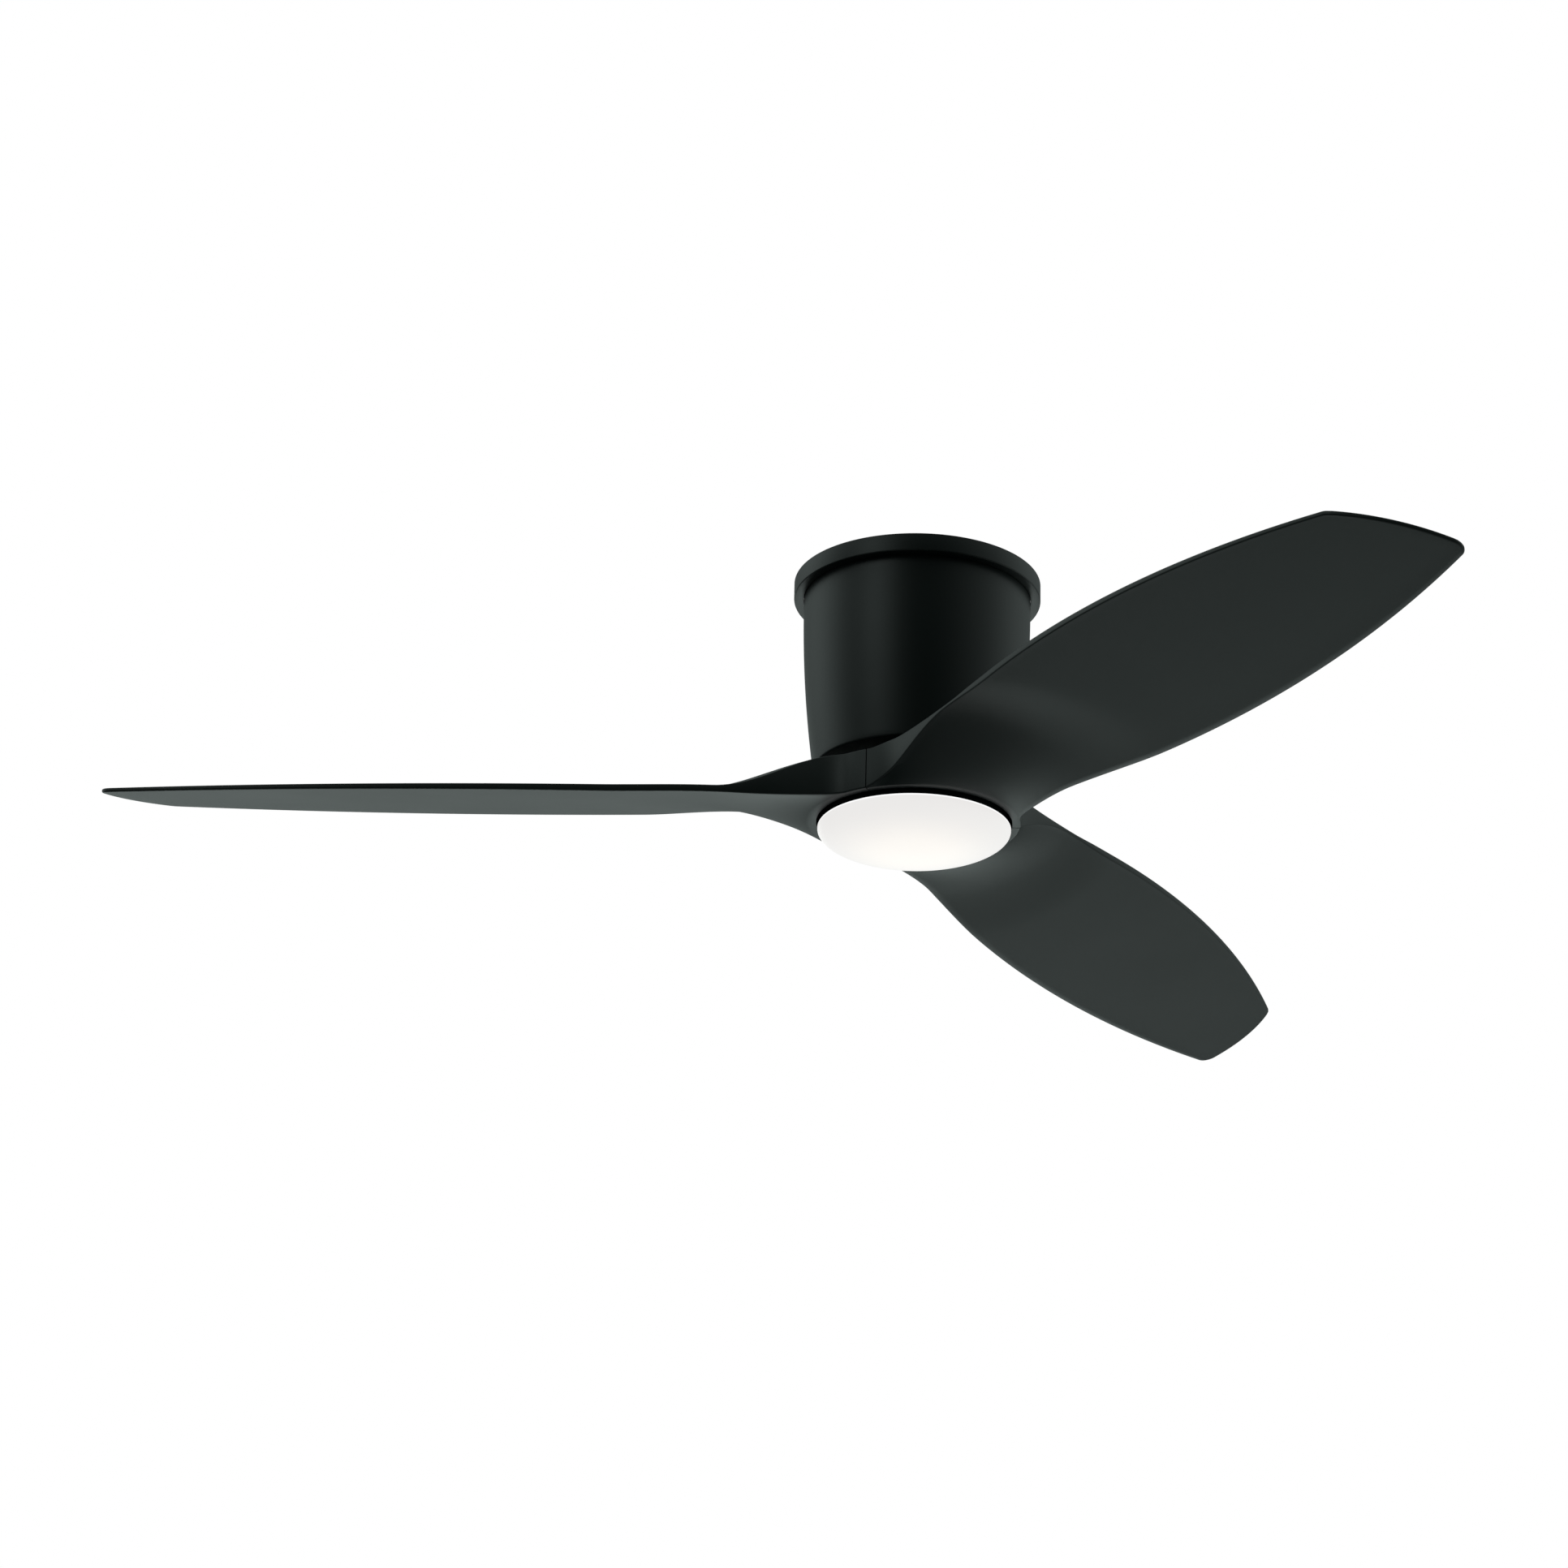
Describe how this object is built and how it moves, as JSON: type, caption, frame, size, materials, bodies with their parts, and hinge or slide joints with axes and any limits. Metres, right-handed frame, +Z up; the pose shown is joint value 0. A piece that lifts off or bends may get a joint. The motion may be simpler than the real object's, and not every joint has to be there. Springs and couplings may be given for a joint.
{
  "type": "ceiling fan",
  "caption": "Flush-mount ceiling fan: black ceiling ring and tapered drum housing, wide pitched blades that form the hub, and a shallow round opal light below.",
  "frame": {"origin": "centre of the mounting plate on the ceiling plane", "axes": "+Z up, along the fan's axis towards the ceiling; +X to the right and +Y away from the viewer; the fan hangs below z = 0"},
  "size_m": [1.0388, 1.1534, 0.2392],
  "materials": {
    "black_metal": "satin black powder coat",
    "black_blade": "satin black moulded",
    "black_plastic": "matte black",
    "opal_lens": "opal, satin",
    "zinc_steel": "zinc plated",
    "screw_steel": "zinc plated",
    "machined_steel": "ground",
    "cast_aluminium": "as cast",
    "lamination_steel": "varnished laminations",
    "copper_wire": "enamelled copper",
    "ferrite": "sintered ferrite",
    "cage_plastic": "moulded nylon",
    "white_plastic": "moulded",
    "orange_plastic": "gloss",
    "board_white": "solder mask",
    "board_green": "solder mask",
    "component_black": "moulded",
    "led_yellow": "phosphor",
    "wire_insulation": "vinyl"
  },
  "bodies": {
    "root": {"mounting_plate": "zinc_steel", "motor_housing": "black_metal", "housing_screws": "black_metal", "canopy_ring": "black_metal", "ring_clips": "screw_steel", "support_posts": "zinc_steel", "post_screws": "screw_steel", "motor_mount_plate": "zinc_steel", "motor_shaft": "machined_steel", "shaft_nut": "screw_steel", "light_kit_nut": "screw_steel", "shaft_circlip": "machined_steel", "upper_bearing_inner_ring": "machined_steel", "lower_bearing_inner_ring": "machined_steel", "stator_core": "lamination_steel", "stator_windings": "copper_wire", "stator_end_rings": "white_plastic", "light_kit_pan": "black_metal", "led_standoffs": "zinc_steel", "led_board_screws": "screw_steel", "led_heat_sink": "cast_aluminium", "led_board": "board_white", "leds": "led_yellow", "led_driver": "white_plastic", "control_box_base": "white_plastic", "control_box_lid": "white_plastic", "control_box_screws": "screw_steel", "control_board": "board_green", "board_components": "component_black", "supply_leads": "wire_insulation", "wire_nuts": "orange_plastic", "motor_leads": "wire_insulation", "light_cable": "wire_insulation"},
    "rotor": {"upper_rotor_bell": "cast_aluminium", "lower_rotor_bell": "cast_aluminium", "bell_screws": "screw_steel", "rotor_back_iron": "lamination_steel", "rotor_magnets": "ferrite", "upper_bearing_outer_ring": "machined_steel", "lower_bearing_outer_ring": "machined_steel", "flywheel": "cast_aluminium", "flywheel_screws": "screw_steel", "blade_1": "black_blade", "blade_2": "black_blade", "blade_3": "black_blade", "blade_screws": "screw_steel"},
    "upper_cage": {"upper_bearing_balls": "machined_steel", "upper_bearing_cage": "cage_plastic"},
    "lower_cage": {"lower_bearing_balls": "machined_steel", "lower_bearing_cage": "cage_plastic"},
    "lens": {"lens_diffuser": "opal_lens", "lens_ring": "black_plastic"}
  },
  "joints": [
    {"name": "rotor_spin", "type": "hinge", "parent": "root", "child": "rotor", "pos_m": [0, 0, -0.14], "axis": [0, 0, 1], "continuous": true},
    {"name": "upper_cage_spin", "type": "hinge", "parent": "root", "child": "upper_cage", "pos_m": [0, 0, -0.111], "axis": [0, 0, 1], "continuous": true},
    {"name": "lower_cage_spin", "type": "hinge", "parent": "root", "child": "lower_cage", "pos_m": [0, 0, -0.169], "axis": [0, 0, 1], "continuous": true},
    {"name": "lens_twist", "type": "hinge", "parent": "root", "child": "lens", "pos_m": [0, 0, -0.219], "axis": [0, 0, 1], "range_deg": [-30, 0]}
  ],
  "couplings": [
    {"joint": "upper_cage_spin", "follows": "rotor_spin", "ratio": 0.6175},
    {"joint": "lower_cage_spin", "follows": "rotor_spin", "ratio": 0.6175}
  ]
}
